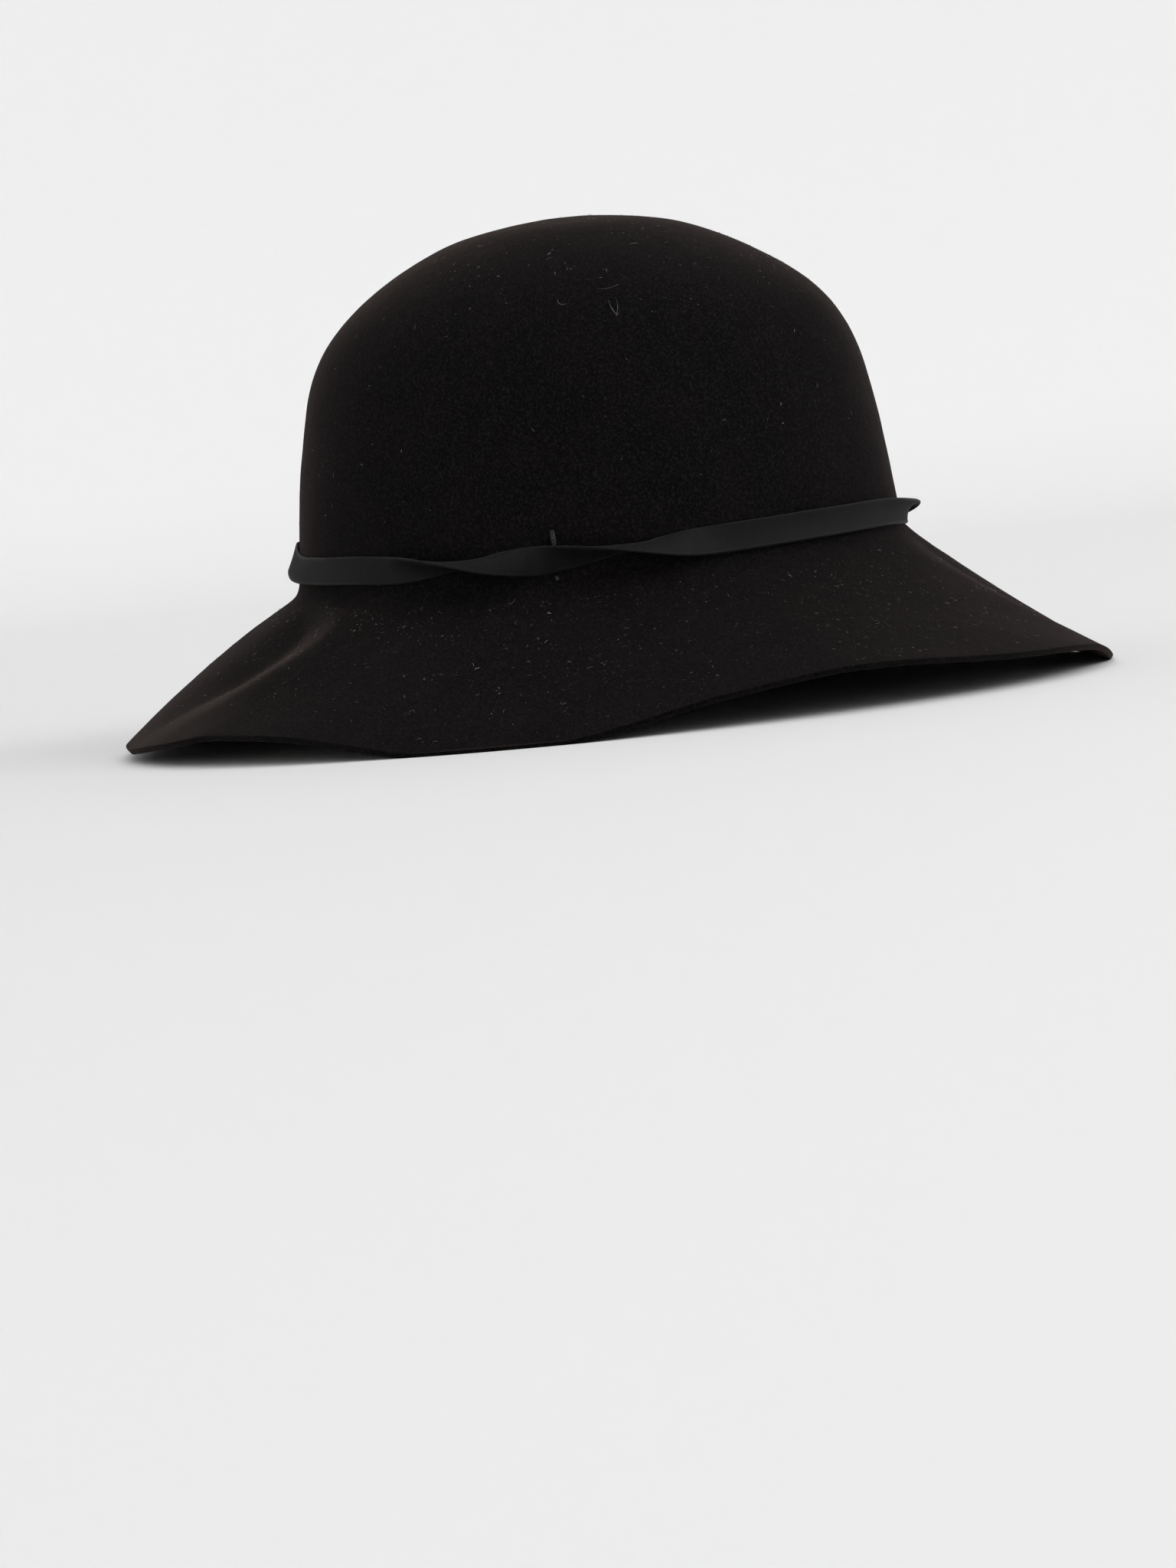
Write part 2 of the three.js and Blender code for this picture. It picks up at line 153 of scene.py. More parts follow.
# How the ribbon lies. lean tips its upper edge outwards, and cup bends both edges outwards, or inwards below
# nothing, in radians. lift and rise are how far it stands off and rides up, as shares of RIBBON_WIDTH.
LIE = table(
    "azimuth lean cup lift rise",
    (0, 0.42, 0.35, 0.1, -0.3),
    (14, 0.12, 0.4, 0.03, -0.1),
    (30, 0, 0.35, 0.02, 0),
    (48, 0, 0.3, 0, 0.02),
    (73, 0, 0.1, 0, 0.06),
    (91, 0.22, -0.3, 0, 0.1),
    (110, 0, 0.1, 0, 0.13),
    (135, 0, 0.15, 0, 0.22),
    (148, -0.1, 0.3, 0.02, 0.14),
    (160, -0.36, 0.4, 0, 0.05),
    (171, -0.28, 0.3, 0, 0.36),
    (185, -0.15, 0.1, 0, 0.24),
    (215, 0, 0.2, 0, 0.05),
    (265, 0, 0.15, 0.02, 0.03),
    (318, 0, 0.2, 0, 0),
    (348, 0.3, 0.3, 0.09, -0.3),
)

FULL_TURN = 360.0
NUDGE = 0.002  # a small step up the felt, from which its slope is read
NUDGE_DEGREES = 0.5  # and one round it
SMALLEST = 0.000001  # the share that stands for none at the top, where the crown has no width


def value_at(rows, name, places, loop=0.0):
    """One column of a table at many places along its first, smooth between the rows.

    loop is the length of a round that joins the last row to the first, such as a full turn.
    """
    keys = np.array([row[0] for row in rows], float)
    values = np.array([getattr(row, name) for row in rows], float)
    places = np.asarray(places, float)
    if loop:
        keys = np.concatenate([keys[-2:] - loop, keys, keys[:2] + loop])
        values = np.concatenate([values[-2:], values, values[:2]])
        places = places % loop
    last = len(keys) - 1
    before = np.maximum(np.arange(last + 1) - 1, 0)
    after = np.minimum(np.arange(last + 1) + 1, last)
    slopes = (values[after] - values[before]) / (keys[after] - keys[before])
    i = np.clip(np.searchsorted(keys, places, side="right") - 1, 0, last - 1)
    step = keys[i + 1] - keys[i]
    t = np.clip((places - keys[i]) / step, 0, 1)
    first = values[i] * (2 * t**3 - 3 * t**2 + 1) + slopes[i] * step * (t**3 - 2 * t**2 + t)
    second = values[i + 1] * (3 * t**2 - 2 * t**3) + slopes[i + 1] * step * (t**3 - t**2)
    return first + second


def smoothstep(x, low, high):
    t = np.clip((x - low) / (high - low), 0, 1)
    return t * t * (3 - 2 * t)


def degrees_between(start, end):
    return (end - start + FULL_TURN / 2) % FULL_TURN - FULL_TURN / 2


def unit(vectors):
    return vectors / np.linalg.norm(vectors, axis=-1, keepdims=True)


def place(azimuth, radius, height):
    angle = np.radians(azimuth)
    return np.stack(np.broadcast_arrays(-radius * np.sin(angle), -radius * np.cos(angle), height), -1)


# The form of the felt's outer side, as a function of azimuth and up

# The crown's table goes on past the top, mirrored, so that the felt is level there
BELOW_TOP = CROWN[-2]
CROWN_OVER_TOP = [*CROWN, BELOW_TOP._replace(
    along=2 - BELOW_TOP.along, front=-BELOW_TOP.front, back=-BELOW_TOP.back, side=-BELOW_TOP.side,
)]


def oval_radius(azimuth, front, back, side):
    """The distance from the crown's axis to an oval whose half sizes are shares of those at the foot."""
    angle = np.radians(azimuth)
    lengthwise = np.cos(angle) / (np.where(np.cos(angle) > 0, front, back) * (HEAD_LENGTH / 2 + FELT))
    sideways = np.sin(angle) / (side * (HEAD_WIDTH / 2 + FELT))
    return 1 / np.hypot(lengthwise, sideways)


def foot_level(azimuth):
    return FOOT_HEIGHT * value_at(FOOT, "rise", azimuth, FULL_TURN)


def crown_point(azimuth, along):
    rise, front, back, side = (
        value_at(CROWN_OVER_TOP, name, along) for name in ("rise", "front", "back", "side")
    )
    foot = foot_level(azimuth)
    height = foot + (FOOT_HEIGHT + CROWN_RISE - foot) * rise
    radius = oval_radius(azimuth, *(np.maximum(share, SMALLEST) for share in (front, back, side)))
    sunk = 0
    for dent in DENTS:
        across = degrees_between(dent.azimuth, azimuth) / dent.half_width
        higher = (along - dent.along) / dent.half_height
        sunk = sunk + dent.depth * HEAD_WIDTH * np.exp(-(across**2) - higher**2)
    return place(azimuth, radius * (1 - sunk / oval_radius(azimuth, 1, 1, 1)), height)


def fold_lift(azimuth, out):
    """How far the folds lift the brim. out runs from 0 at the foot of the crown to 1 at the edge."""
    grown = smoothstep(out, FOLD_START, FOLD_FULL)
    eased = 1 - (1 - FOLD_REST) * smoothstep(out, FOLD_EASE, 1)
    weights = ((1 - out) * (1 - 2 * out), 4 * out * (1 - out), out * (2 * out - 1))
    lift = 0
    for fold in FOLDS:
        azimuths = (fold.from_azimuth, fold.mid_azimuth, fold.to_azimuth)
        crest = sum(w * a for w, a in zip(weights, azimuths))
        across = np.abs(degrees_between(crest, azimuth)) / fold.half_width
        lift = lift + fold.lift * BRIM_REACH * grown * eased * np.exp(-(across**FOLD_SHARPNESS))
    return lift


def brim_point(azimuth, out):
    """The brim's section is a cubic curve from the foot of the crown to the edge."""
    reach_share, edge_share, neck_share, knee_reach, knee_rise = (
        value_at(BRIM, name, azimuth, FULL_TURN)
        for name in ("reach", "edge", "neck", "knee_reach", "knee_rise")
    )
    start = oval_radius(azimuth, 1, 1, 1)
    foot = foot_level(azimuth)
    reach = BRIM_REACH * reach_share
    edge = FOOT_HEIGHT * edge_share + FELT
    neck = FOOT_HEIGHT * neck_share
    # The neck goes on down at the slope of the lowest stretch of the crown
    lean = (1 - CROWN[1].front) * (HEAD_LENGTH / 2 + FELT) / (CROWN_RISE * CROWN[1].rise) * neck
    across = (start, start + lean, start + knee_reach * reach, start + reach)
    height = (foot, foot - neck, edge + knee_rise * (foot - edge), edge)
    weights = ((1 - out) ** 3, 3 * out * (1 - out) ** 2, 3 * out**2 * (1 - out), out**3)
    radius = sum(w * x for w, x in zip(weights, across))
    level = sum(w * z for w, z in zip(weights, height))
    return place(azimuth, radius, level + fold_lift(azimuth, out))


def hat_point(azimuth, up):
    azimuth, up = np.broadcast_arrays(np.asarray(azimuth, float), np.asarray(up, float))
    brim = brim_point(azimuth, np.clip(1 - up, 0, 1))
    crown = crown_point(azimuth, np.clip(up - 1, 0, 1))
    return np.where((up < 1)[..., None], brim, crown)


def hat_normal(azimuth, up):
    up = np.minimum(up, 2 - NUDGE)
    upward = hat_point(azimuth, up + NUDGE) - hat_point(azimuth, np.maximum(up - NUDGE, 0))
    onward = hat_point(azimuth + NUDGE_DEGREES, up) - hat_point(azimuth - NUDGE_DEGREES, up)
    return unit(np.cross(upward, onward))


# Meshes and their values

def box_middle(points):
    return (points.reshape(-1, 3).min(0) + points.reshape(-1, 3).max(0)) / 2


def mesh_piece(name, points, faces, material):
    mesh = bpy.data.meshes.new(name)
    mesh.from_pydata(points.tolist(), [], faces)
    mesh.validate()
    mesh.polygons.foreach_set("use_smooth", [True] * len(mesh.polygons))
    mesh.materials.append(material)
    piece = bpy.data.objects.new(name, mesh)
    bpy.context.scene.collection.objects.link(piece)
    return piece


def add_values(piece, name, values):
    """Gives each point of a mesh a value that its material can read."""
    piece.data.attributes.new(name, "FLOAT", "POINT").data.foreach_set("value", values)


# Material nodes

def new_material(name, **inputs):
    material = bpy.data.materials.new(name)
    material.use_nodes = True
    shader = material.node_tree.nodes["Principled BSDF"]
    for socket, value in inputs.items():
        shader.inputs[socket.replace("_", " ")].default_value = value
    return material, material.node_tree, shader


def object_coordinates(tree):
    return tree.nodes.new("ShaderNodeTexCoord").outputs["Object"]


def point_value(tree, name):
    node = tree.nodes.new("ShaderNodeAttribute")
    node.attribute_name = name
    return node.outputs["Fac"]


def grain(tree, coordinates, size, detail=3.0, roughness=0.6):
    """A noise whose grains are about size metres across."""
    texture = tree.nodes.new("ShaderNodeTexNoise")
    texture.inputs["Scale"].default_value = 1 / size
    texture.inputs["Detail"].default_value = detail
    texture.inputs["Roughness"].default_value = roughness
    tree.links.new(coordinates, texture.inputs["Vector"])
    return texture.outputs["Fac"]


def ramp(tree, factor, tones):
    """Colours between some tones. A tone is a value of the factor and the colour that it has there."""
    node = tree.nodes.new("ShaderNodeValToRGB")
    while len(node.color_ramp.elements) < len(tones):
        node.color_ramp.elements.new(0.5)
    for element, (position, colour) in zip(node.color_ramp.elements, tones):
        element.position = position
        element.color = (*colour, 1)
    tree.links.new(factor, node.inputs["Fac"])
    return node.outputs["Color"]


def mixed(tree, share, first, second):
    """Two colours in one, share being how much of it is the second."""
    node = tree.nodes.new("ShaderNodeMix")
    node.data_type = "RGBA"
    node.inputs["Factor"].default_value = share
    tree.links.new(first, node.inputs["A"])
    tree.links.new(second, node.inputs["B"])
    return node.outputs["Result"]


def bump(tree, shader, coordinates, layers):
    """Bumps of different sizes, one on the other."""
    normal = None
    for layer in layers:
        node = tree.nodes.new("ShaderNodeBump")
        node.inputs["Distance"].default_value = layer.depth
        node.inputs["Strength"].default_value = layer.strength
        height = grain(tree, coordinates, layer.size, layer.detail, layer.roughness)
        tree.links.new(height, node.inputs["Height"])
        if normal:
            tree.links.new(normal, node.inputs["Normal"])
        normal = node.outputs["Normal"]
    tree.links.new(normal, shader.inputs["Normal"])


BUMP_COLUMNS = "size detail roughness depth strength"

# Wool felt: broad warm and cool clouds, and a nap of short fibres that catch the light

CLOUD_SIZE = 0.018
CLOUD_TONES = ((0.3, (0.0022, 0.0021, 0.0023)), (0.7, (0.0048, 0.0036, 0.0032)))
NAP_SIZE = 0.0008
NAP_DETAIL = 4
NAP_TONES = (
    (0.37, (0.0007, 0.0006, 0.0007)),
    (0.5, (0.0027, 0.0025, 0.0026)),
    (0.65, (0.0116, 0.0105, 0.0104)),
)
NAP_SHARE = 0.6
FELT_BUMPS = table(
    BUMP_COLUMNS,
    (0.004, 3, 0.6, 0.0003, 0.4),
    (0.0013, 4, 0.6, 0.0002, 0.5),
    (0.0005, 3, 0.7, 0.00012, 0.7),
)


def felt_material():
    material, tree, shader = new_material(
        "wool_felt", Roughness=0.95, Specular_IOR_Level=0.06,
        Sheen_Weight=0.085, Sheen_Roughness=0.31, Sheen_Tint=(0.7, 0.47, 0.4, 1),
    )
    coordinates = object_coordinates(tree)
    cloud = ramp(tree, grain(tree, coordinates, CLOUD_SIZE), CLOUD_TONES)
    nap = ramp(tree, grain(tree, coordinates, NAP_SIZE, NAP_DETAIL), NAP_TONES)
    tree.links.new(mixed(tree, NAP_SHARE, cloud, nap), shader.inputs["Base Color"])
    bump(tree, shader, coordinates, FELT_BUMPS)
    return material


# Grosgrain: painted shade in the grooves between the ribs and lighter crests, with a slightly uneven dye

RIB_VALUE = "rib"  # how near a point is to the crest of a rib, from 0 to 1
# Painted shade: the colour is dark where RIB_VALUE is low, in the grooves between the ribs, and lighter on
# their crests
RIB_GROOVE_SHADE_TONES = ((0.0, (0.0010, 0.0010, 0.0011)), (0.9, (0.0090, 0.0088, 0.0091)))
DYE_SIZE = 0.0015
DYE_TONES = ((0.3, (0.0024, 0.0024, 0.0025)), (0.7, (0.0064, 0.0062, 0.0064)))
DYE_SHARE = 0.3
RIBBON_BUMPS = table(BUMP_COLUMNS, (0.00025, 2, 0.6, 0.00003, 0.5))


def ribbon_material():
    material, tree, shader = new_material(
        "grosgrain", Roughness=0.6, Specular_IOR_Level=0.1,
        Sheen_Weight=0.05, Sheen_Roughness=0.4, Sheen_Tint=(0.8, 0.8, 0.84, 1),
    )
    coordinates = object_coordinates(tree)
    # Shade painted into the grooves between the ribs, by how near each point is to a rib's crest
    groove_shade = ramp(tree, point_value(tree, RIB_VALUE), RIB_GROOVE_SHADE_TONES)
    dye = ramp(tree, grain(tree, coordinates, DYE_SIZE), DYE_TONES)
    tree.links.new(mixed(tree, DYE_SHARE, groove_shade, dye), shader.inputs["Base Color"])
    bump(tree, shader, coordinates, RIBBON_BUMPS)
    return material


# Sewing thread and lint

THREAD_TONE_SIZE = 0.0006
THREAD_TONES = ((0.35, (0.014, 0.014, 0.0145)), (0.65, (0.06, 0.058, 0.06)))
THREAD_BUMPS = table(BUMP_COLUMNS, (0.0002, 2, 0.6, 0.00003, 0.6))
LINT_TONE_SIZE = 0.006
LINT_TONE_DETAIL = 1
LINT_TONES = ((0.33, (0.03, 0.024, 0.021)), (0.5, (0.15, 0.14, 0.13)), (0.68, (0.4, 0.4, 0.4)))


def thread_material():
    material, tree, shader = new_material("sewing_thread", Roughness=0.55, Specular_IOR_Level=0.3)
    coordinates = object_coordinates(tree)
    tone = ramp(tree, grain(tree, coordinates, THREAD_TONE_SIZE), THREAD_TONES)
    tree.links.new(tone, shader.inputs["Base Color"])
    bump(tree, shader, coordinates, THREAD_BUMPS)
    return material


def lint_material():
    material, tree, shader = new_material("pale_lint", Roughness=0.8, Specular_IOR_Level=0.2)
    tone = ramp(tree, grain(tree, object_coordinates(tree), LINT_TONE_SIZE, LINT_TONE_DETAIL), LINT_TONES)
    tree.links.new(tone, shader.inputs["Base Color"])
    return material


# The felt: an outer skin, a cut edge and an inner skin, in one closed mesh

HAT_COLUMNS = 360
CROWN_RINGS = 80
BRIM_RINGS = 76
TOWARDS_EDGE = 1.4  # above 1 the brim's rings lie closer together towards its edge
INNER_RING_STEP = 3  # the inner skin has every third ring
EDGE_DEPTHS = (0.06, 0.2, 0.4, 0.6, 0.8, 0.94)  # places over the cut edge, as shares of its thickness
EDGE_BULGE = 0.00012
# Blocked felt strays from its smooth form in broad swells and small ripples: how far, and how wide they are
SWELL = 0.00022
SWELL_SIZE = 0.024
RIPPLE = 0.00006
RIPPLE_SIZE = 0.006


def softness(points):
    """How far the felt strays outwards at each point."""
    out = np.empty(len(points))
    for i, point in enumerate(points):
        p = Vector(point)
        out[i] = SWELL * noise.noise(p / SWELL_SIZE) + RIPPLE * noise.noise(p / RIPPLE_SIZE)
    return out


def felt_ups():
    """How far up the felt each ring lies, from just below the top to the edge."""
    crown = [2 - r / CROWN_RINGS for r in range(1, CROWN_RINGS + 1)]
    brim = [(1 - r / BRIM_RINGS) ** TOWARDS_EDGE for r in range(1, BRIM_RINGS + 1)]
    return crown + brim


def felt_ring(up, depth):
    """A ring of the felt, depth being 0 on the outer skin and 1 on the inner one."""
    azimuths = np.arange(HAT_COLUMNS) * FULL_TURN / HAT_COLUMNS
    outer = hat_point(azimuths, up)
    normal = hat_normal(azimuths, np.full(HAT_COLUMNS, up))
    stray = softness(outer)[:, None]
    points = outer + normal * (stray - depth * FELT)
    if up == 0:
        bulge = EDGE_BULGE * math.sqrt(math.sin(depth * math.pi))
        points += place(azimuths, bulge, np.zeros(HAT_COLUMNS))
    # Where the felt meets the surface it is pressed flat, and its outer side stays PRESSED above it
    lowest = max(PRESSED * (1 - 2 * depth), 0)
    points[:, 2] = np.maximum(points[:, 2], lowest)
    return points


def closed_rings(rings):
    """Faces between rings of points, each joined to the next, with a lone point at each end."""
    columns = len(rings[1])
    start = 1
    faces = [(0, start + (c + 1) % columns, start + c) for c in range(columns)]
    for _ in range(len(rings) - 3):
        for c in range(columns):
            n = (c + 1) % columns
            faces.append((start + c, start + n, start + columns + n, start + columns + c))
        start += columns
    end = start + columns
    faces += [(start + c, start + (c + 1) % columns, end) for c in range(columns)]
    return faces


def make_felt(material):
    """The felt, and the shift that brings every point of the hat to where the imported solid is."""
    ups = felt_ups()
    outer = [felt_ring(up, 0) for up in ups]
    cut = [felt_ring(0, depth) for depth in EDGE_DEPTHS]
    inner = [felt_ring(up, 1) for up in ups[::-INNER_RING_STEP]]
    top = hat_point(0.0, 2.0)
    rings = [top[None], *outer, *cut, *inner, (top - [0, 0, FELT])[None]]
    points = np.concatenate(rings)
    low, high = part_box("felt_body")
    shift = np.array([*((low + high) / 2)]) - box_middle(points)
    shift[2] = 0
    return mesh_piece("felt_hat", points + shift, closed_rings(rings), material), shift


# The ribbon: one closed loop of grosgrain with a rib every RIB_PITCH

RIB_HEIGHTS = (0.0, 0.7, 1.0, 0.7)  # steps along the ribbon over one rib, as shares of RIB
SHARES = (0, 0.03, 0.07, 0.12, 0.25, 0.42, 0.58, 0.75, 0.88, 0.93, 0.97, 1)  # places across the ribbon
SLICES = 48  # straight steps that the bent section across the ribbon is added up from
ROUGH_STEPS = 1440  # round the loop, to measure its length
SELVEDGE = 1.35  # how much thicker the ribbon is along its two edges
RIM = 0.5  # and at the very edge
PLAIN_EDGE = (0.06, 0.12)  # the ribs fade out between these distances from an edge, as shares of the width
SELVEDGE_TONE = 0.8  # how light the plain edges are in the painted groove shade, as a value of RIB_VALUE
# How far up the felt the middle of the ribbon lies, on the lowest stretch of the crown
RIBBON_UP = 1 + CROWN[1].along * (RIBBON_SEAT + RIBBON_WIDTH / 2) / (CROWN[1].rise * CROWN_RISE)


def half_turns(azimuth):
    turns = 0
    for twist in TWISTS:
        for lap in (-FULL_TURN, 0, FULL_TURN):
            turns = turns + smoothstep(twist.azimuth + lap - azimuth, -twist.spread / 2, twist.spread / 2)
    return turns


def ribbon_sections(azimuths):
    """The middle surface of the ribbon and the way that it faces, for each azimuth and each of SHARES."""
    lean, cup, lift, rise = (
        value_at(LIE, name, azimuths, FULL_TURN) for name in ("lean", "cup", "lift", "rise")
    )
    turn = math.pi * half_turns(azimuths) + lean
    bend = cup * np.cos(turn) + TWIST_ARCH * np.sin(turn)

    # The section, from edge to edge: u is how far up the felt and n how far off it
    tilt = turn[:, None] + bend[:, None] * (2 * (np.arange(SLICES) + 0.5) / SLICES - 1)
    step = RIBBON_WIDTH / SLICES
    start = np.zeros((len(azimuths), 1))
    u = np.concatenate([start, np.cumsum(np.cos(tilt), 1) * step], 1)
    n = np.concatenate([start, np.cumsum(np.sin(tilt), 1) * step], 1)
    u -= (u[:, :1] + u[:, -1:]) / 2 - (rise * RIBBON_WIDTH)[:, None]
    n += (RIBBON_CLEARANCE + RIBBON / 2 + RIB + lift * RIBBON_WIDTH - n.min(1))[:, None]

    # The same section at SHARES alone
    places = np.array(SHARES) * SLICES
    low = np.minimum(places.astype(int), SLICES - 1)
    part = places - low
    u = u[:, low] * (1 - part) + u[:, low + 1] * part
    n = n[:, low] * (1 - part) + n[:, low + 1] * part
    tilt = turn[:, None] + bend[:, None] * (2 * np.array(SHARES) - 1)

    up = np.full(len(azimuths), RIBBON_UP)
    wall = hat_point(azimuths, up)
    upward = unit(hat_point(azimuths, up + NUDGE) - hat_point(azimuths, up - NUDGE))
    outward = hat_normal(azimuths, up)
    middle = wall[:, None] + u[..., None] * upward[:, None] + n[..., None] * outward[:, None]
    facing = -np.sin(tilt)[..., None] * upward[:, None] + np.cos(tilt)[..., None] * outward[:, None]
    return middle, facing


def even_azimuths():
    """Azimuths a fixed length of ribbon apart, with whole ribs all round the loop, and the loop's length."""
    rough = np.linspace(0, FULL_TURN, ROUGH_STEPS + 1)
    line = ribbon_sections(rough)[0][:, len(SHARES) // 2]
    length = np.concatenate([[0], np.cumsum(np.linalg.norm(np.diff(line, axis=0), axis=1))])
    steps = round(length[-1] / RIB_PITCH) * len(RIB_HEIGHTS)
    return np.interp(np.arange(steps) * length[-1] / steps, length, rough), length[-1]


def looped_rings(count, around):
    """Faces between rings of points, each joined to the next and the last to the first."""
    faces = []
    for ring in range(count):
        here, there = ring * around, (ring + 1) % count * around
        for p in range(around):
            q = (p + 1) % around
            faces.append((here + p, here + q, there + q, there + p))
    return faces


def make_ribbon(material, shift):
    azimuths, length = even_azimuths()
    middle, facing = ribbon_sections(azimuths)
    ribs = np.array(RIB_HEIGHTS)[np.arange(len(azimuths)) % len(RIB_HEIGHTS)]
    shares = np.array(SHARES)
    edge = np.minimum(shares, 1 - shares)
    ribbed = smoothstep(edge, *PLAIN_EDGE)
    thick = np.where(edge < PLAIN_EDGE[0], SELVEDGE, 1)
    thick[[0, -1]] = RIM
    offset = RIBBON / 2 * thick[None] + RIB * ribs[:, None] * ribbed[None]
    front = middle + facing * offset[..., None]
    back = middle - facing * offset[..., None]
    rings = np.concatenate([front, back[:, ::-1]], 1)
    faces = looped_rings(len(azimuths), rings.shape[1])
    piece = mesh_piece("grosgrain_ribbon", rings.reshape(-1, 3) + shift, faces, material)
    # The values by which the ribbon's material paints shade into the grooves between the ribs; the plain
    # edges take SELVEDGE_TONE
    crest = ribs[:, None] * ribbed[None] + SELVEDGE_TONE * (1 - ribbed[None])
    add_values(piece, RIB_VALUE, np.concatenate([crest, crest[:, ::-1]], 1).ravel())
    return piece, length


# Threads: tubes along paths of points, one joined mesh for many of them

def tubes(paths, radii, sideways, sides):
    """Closed tubes. paths is tubes by points by 3, radii tubes by points, and sideways a way across each."""
    along = unit(np.gradient(paths, axis=1))
    first = unit(np.cross(along, sideways))
    second = np.cross(along, first)
    angles = np.arange(sides) * 2 * math.pi / sides
    spoke = first[:, :, None] * np.cos(angles)[:, None] + second[:, :, None] * np.sin(angles)[:, None]
    points = paths[:, :, None] + radii[:, :, None, None] * spoke
    faces = []
    for tube in range(len(paths)):
        start = tube * paths.shape[1] * sides
        faces.append([start + s for s in reversed(range(sides))])
        for _ in range(paths.shape[1] - 1):
            for s in range(sides):
                n = (s + 1) % sides
                faces.append((start + s, start + n, start + sides + n, start + sides + s))
            start += sides
        faces.append([start + s for s in range(sides)])
    return points.reshape(-1, 3), faces


def taper(share, tip):
    """How thick a thread is along its length, as a share. tip is the square of the share at its two ends."""
    return np.sqrt(np.clip(np.sin(math.pi * share), tip, 1))


def on_felt(azimuth, up, above):
    """Points that lie a little above the felt, with the way that the felt faces there."""
    surface = hat_point(azimuth, up)
    normal = hat_normal(azimuth, up)
    stray = softness(surface.reshape(-1, 3)).reshape(surface.shape[:-1])
    return surface + normal * (stray + above)[..., None], normal


# The tack: a chain of thread that pokes out above the ribbon, and its end below the ribbon

TACK_AZIMUTH = 87.2
# Heights over the foot of the crown in metres, the degrees that it leans and its thickness as a share
TACKS = table(
    "low high lean thickness",
    (0.0098, 0.0146, 0.25, 1),
    (-0.0011, 0.0002, -0.6, 0.5),
)
TACK_TWIST = 0.0017  # length of one turn of its two strands
TACK_STRAND = 0.00031  # radius
TACK_HALF_WIDTH = 0.00055
TACK_POINTS = 60
TACK_SIDES = 8
TACK_TIP = 0.15
# How far up the felt a metre goes, just above the foot of the crown and, roughly, just below it
UP_PER_METRE_ABOVE = CROWN[1].along / (CROWN[1].rise * CROWN_RISE)
UP_PER_METRE_BELOW = 1 / (BRIM_REACH + FOOT_HEIGHT)


def make_tack(material, shift):
    share = np.linspace(0, 1, TACK_POINTS)
    paths, radii, sideways = [], [], []
    for tack in TACKS:
        height = tack.low + (tack.high - tack.low) * share
        up = 1 + np.where(height > 0, UP_PER_METRE_ABOVE, UP_PER_METRE_BELOW) * height
        azimuth = TACK_AZIMUTH + tack.lean * (share - 0.5)
        core, normal = on_felt(azimuth, up, np.full(TACK_POINTS, TACK_STRAND))
        level = unit(np.cross(normal, np.gradient(core, axis=0)))
        for strand in (0, math.pi):
            turn = 2 * math.pi * (tack.high - tack.low) / TACK_TWIST * share + strand
            across = TACK_HALF_WIDTH * np.cos(turn)[:, None] * level
            out = TACK_STRAND * (1 + np.sin(turn))[:, None] * normal
            paths.append(core + across + out)
            radii.append(tack.thickness * TACK_STRAND * taper(share, TACK_TIP))
            sideways.append(normal)
    points, faces = tubes(np.array(paths), np.array(radii), np.array(sideways), TACK_SIDES)
    return mesh_piece("thread_tack", points + shift, faces, material)


# Lint: pale fibres and specks on the felt

LINT_SEED = 11
LINT_POINTS = 6
LINT_SIDES = 3
LINT_TIP = 0.2
LINT_RADIUS = 0.000036
LINT_THINNEST = 0.6  # share of LINT_RADIUS that every bit has
LINT_THICKENING = 0.8  # and the most that chance adds
LINT_ARCH = 0.12  # how far a bit stands up in its middle, as a share of its length
LINT_HIGHEST = 0.0003  # and at most
LINT_LOWEST_UP = 0.004  # no bit hangs over the edge of the brim
LINT_PER_PATCH = 9
PATCH_SPREAD = (9, 0.07)  # in degrees round the hat and up the felt
# Scattered lint, by how far up the felt it lies: how many bits, their lengths and usual curl in radians
LINT = table(
    "low high number shortest longest curl",
    (0.02, 0.35, 1700, 0.0002, 0.0015, 2.1),
    (0.3, 0.76, 1800, 0.0002, 0.0017, 2.1),
    (1.1, 1.45, 260, 0.0002, 0.0016, 1.8),
    (1.44, 1.75, 800, 0.0002, 0.0018, 1.8),
    (1.7, 1.96, 250, 0.0002, 0.0014, 1.8),
)
# The fibres that show best: where each starts, its length, its heading in degrees from level, the radians
# that it curls through and its radius
FIBRES = table(
    "azimuth up length heading curl radius",
    (64.3, 1.538, 0.0075, 225, -1.1, 0.00004),
    (68.8, 1.5, 0.0062, 262, 0.7, 0.00004),
    (67.2, 1.5, 0.0060, 280, -0.6, 0.00004),
    (81.3, 1.513, 0.0042, 230, 2.6, 0.00004),
    (56.5, 1.664, 0.0030, 350, 0.4, 0.00007),
    (85.4, 1.655, 0.0015, 40, 0.3, 0.00007),
    (83.2, 1.648, 0.0022, 250, -1.4, 0.00005),
    (67.9, 1.583, 0.0018, 320, -1.2, 0.00006),
    (38.2, 0.238, 0.0050, 178, 2.2, 0.00006),
    (40.6, 0.246, 0.0042, 350, -3.2, 0.00006),
    (99.7, 0.377, 0.0022, 95, 1.2, 0.00011),
    (99.4, 0.36, 0.0016, 60, -0.8, 0.00008),
    (31.7, 0.514, 0.0004, 0, 0, 0.00012),
    (97.4, 0.745, 0.0038, 8, 1.8, 0.00006),
    (105.2, 0.15, 0.0030, 60, 3.4, 0.00006),
    (84.6, 0.17, 0.0036, 200, 4.2, 0.00006),
)


